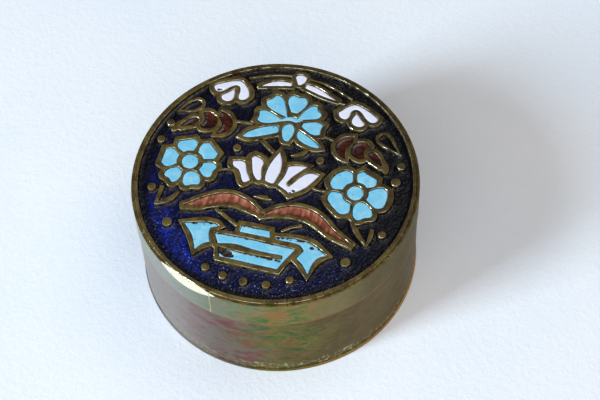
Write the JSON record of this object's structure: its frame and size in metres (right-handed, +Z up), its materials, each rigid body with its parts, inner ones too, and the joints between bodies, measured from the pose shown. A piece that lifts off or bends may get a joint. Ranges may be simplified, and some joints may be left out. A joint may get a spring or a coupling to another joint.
{
  "type": "cloisonne enamel box",
  "caption": "Small round brass box with a lift-off lid, its flat top enamelled with a basket of flowers between raised brass outlines.",
  "frame": {"origin": "centre of the underside, where the box stands", "axes": "+Z up through the lid; +Y to the top of the picture on the lid, so the basket lies towards -Y; +X to the picture's right"},
  "size_m": [0.06, 0.06, 0.0285],
  "materials": {
    "base_brass": "tarnished sheet, scuffed along its edge",
    "wall_brass": "satin, with streaks of green, orange and pink tarnish",
    "band_brass": "satin, greenish grey tarnish",
    "relief_brass": "ground flat, olive brown tarnish",
    "cobalt_enamel": "opaque, gritty and pitted, dark blue",
    "turquoise_enamel": "opaque, satin, light turquoise with dark specks",
    "white_enamel": "opaque, satin, cold white",
    "copper_red_enamel": "opaque, streaked, copper red",
    "maroon_enamel": "nearly opaque, glossy, dark red"
  },
  "bodies": {
    "root": {"bottom_plate": "base_brass", "box_wall": "wall_brass", "lid_band": "band_brass", "lid_plate": "relief_brass", "ground_enamel_1": "cobalt_enamel", "left_rosette_heart": "turquoise_enamel", "left_rosette_petal_1": "turquoise_enamel", "left_rosette_petal_2": "turquoise_enamel", "left_rosette_petal_3": "turquoise_enamel", "left_rosette_petal_4": "turquoise_enamel", "left_rosette_petal_5": "turquoise_enamel", "left_rosette_petal_6": "turquoise_enamel", "right_rosette_heart": "turquoise_enamel", "right_rosette_petal_1": "turquoise_enamel", "right_rosette_petal_2": "turquoise_enamel", "right_rosette_petal_3": "turquoise_enamel", "right_rosette_petal_4": "turquoise_enamel", "right_rosette_petal_5": "turquoise_enamel", "flower_petals": "turquoise_enamel", "flower_top_petal": "turquoise_enamel", "flower_side_petal": "turquoise_enamel", "flower_bud": "turquoise_enamel", "left_sepal": "turquoise_enamel", "right_sepal": "turquoise_enamel", "lotus_petal_1": "white_enamel", "lotus_petal_2": "white_enamel", "lotus_petal_3": "white_enamel", "lotus_right_petals": "white_enamel", "left_wing": "copper_red_enamel", "right_wing": "copper_red_enamel", "basket_bands": "turquoise_enamel", "basket_collar": "turquoise_enamel", "basket_left_handle": "turquoise_enamel", "basket_right_handle": "turquoise_enamel", "bow_jewel": "white_enamel", "bow_left_strip": "white_enamel", "bow_right_strip": "white_enamel", "right_fan_arch": "white_enamel", "right_fan_core": "white_enamel", "left_fan_arch": "white_enamel", "left_fan_core": "white_enamel", "right_leaf_1": "maroon_enamel", "left_leaf_1": "maroon_enamel", "right_leaf_2": "maroon_enamel", "left_leaf_2": "maroon_enamel", "right_leaf_3": "maroon_enamel", "left_leaf_3": "maroon_enamel", "right_teardrop": "cobalt_enamel", "left_teardrop": "cobalt_enamel"}
  },
  "joints": []
}
